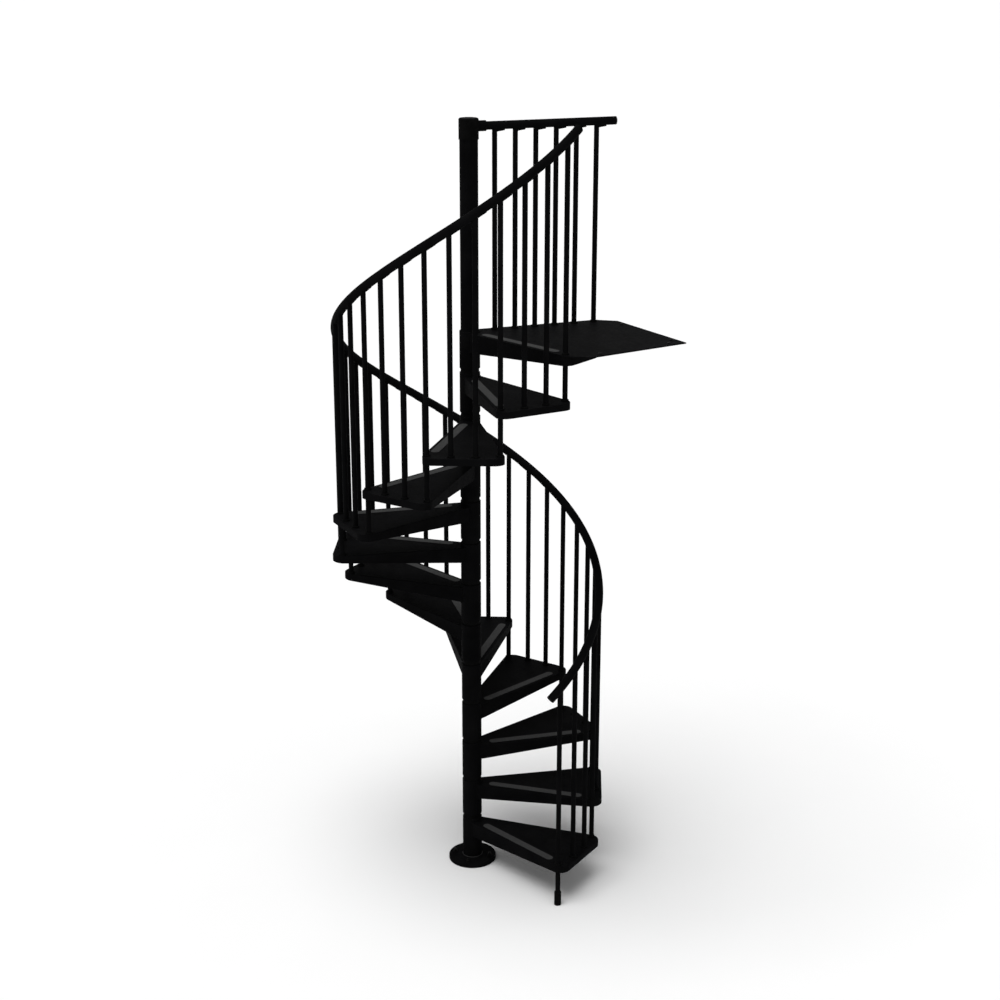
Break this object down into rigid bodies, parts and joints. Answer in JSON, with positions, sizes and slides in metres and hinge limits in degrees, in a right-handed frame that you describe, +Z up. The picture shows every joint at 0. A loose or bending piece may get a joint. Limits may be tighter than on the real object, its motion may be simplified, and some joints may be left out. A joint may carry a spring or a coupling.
{
  "type": "spiral staircase",
  "caption": "Black steel spiral stair: centre pole with sleeves, wedge treads with grip strips, balusters, helical handrail, square-edged landing and landing rail.",
  "frame": {"origin": "centre of the base flange's underside, on the centre pole's axis, at floor level", "axes": "+Z up along the centre pole; the landing's two straight outer sides face +X and +Y; the flight climbs counter-clockwise seen from above, its first nose line 10.3 degrees from +X"},
  "size_m": [1.4448, 1.4445, 3.934],
  "materials": {
    "coated_steel": "satin black powder coat",
    "black_plastic": "matt black moulded plastic",
    "grip_strip": "dark grey gritty anti-slip strip"
  },
  "bodies": {
    "root": {"base_flange": "coated_steel", "centre_pole": "coated_steel", "hub_sleeves": "coated_steel", "tread_01": "coated_steel", "tread_02": "coated_steel", "tread_03": "coated_steel", "tread_04": "coated_steel", "tread_05": "coated_steel", "tread_06": "coated_steel", "tread_07": "coated_steel", "tread_08": "coated_steel", "tread_09": "coated_steel", "tread_10": "coated_steel", "tread_11": "coated_steel", "tread_12": "coated_steel", "landing_plate": "coated_steel", "landing_front_arm": "coated_steel", "landing_rear_arm": "coated_steel", "joint_balusters": "coated_steel", "middle_balusters": "coated_steel", "baluster_lock_rings": "coated_steel", "handrail_01": "coated_steel", "handrail_02": "coated_steel", "handrail_03": "coated_steel", "handrail_04": "coated_steel", "handrail_05": "coated_steel", "handrail_06": "coated_steel", "handrail_07": "coated_steel", "handrail_08": "coated_steel", "handrail_09": "coated_steel", "handrail_10": "coated_steel", "handrail_11": "coated_steel", "handrail_12": "coated_steel", "landing_rail": "coated_steel", "landing_rail_bracket": "coated_steel", "landing_balusters": "coated_steel", "spacer_rings": "black_plastic", "pole_cap": "black_plastic", "baluster_foot": "black_plastic", "baluster_collars": "black_plastic", "handrail_plugs": "black_plastic", "landing_rail_plug": "black_plastic", "rail_saddles": "black_plastic", "anti_slip_strips": "grip_strip"}
  },
  "joints": []
}
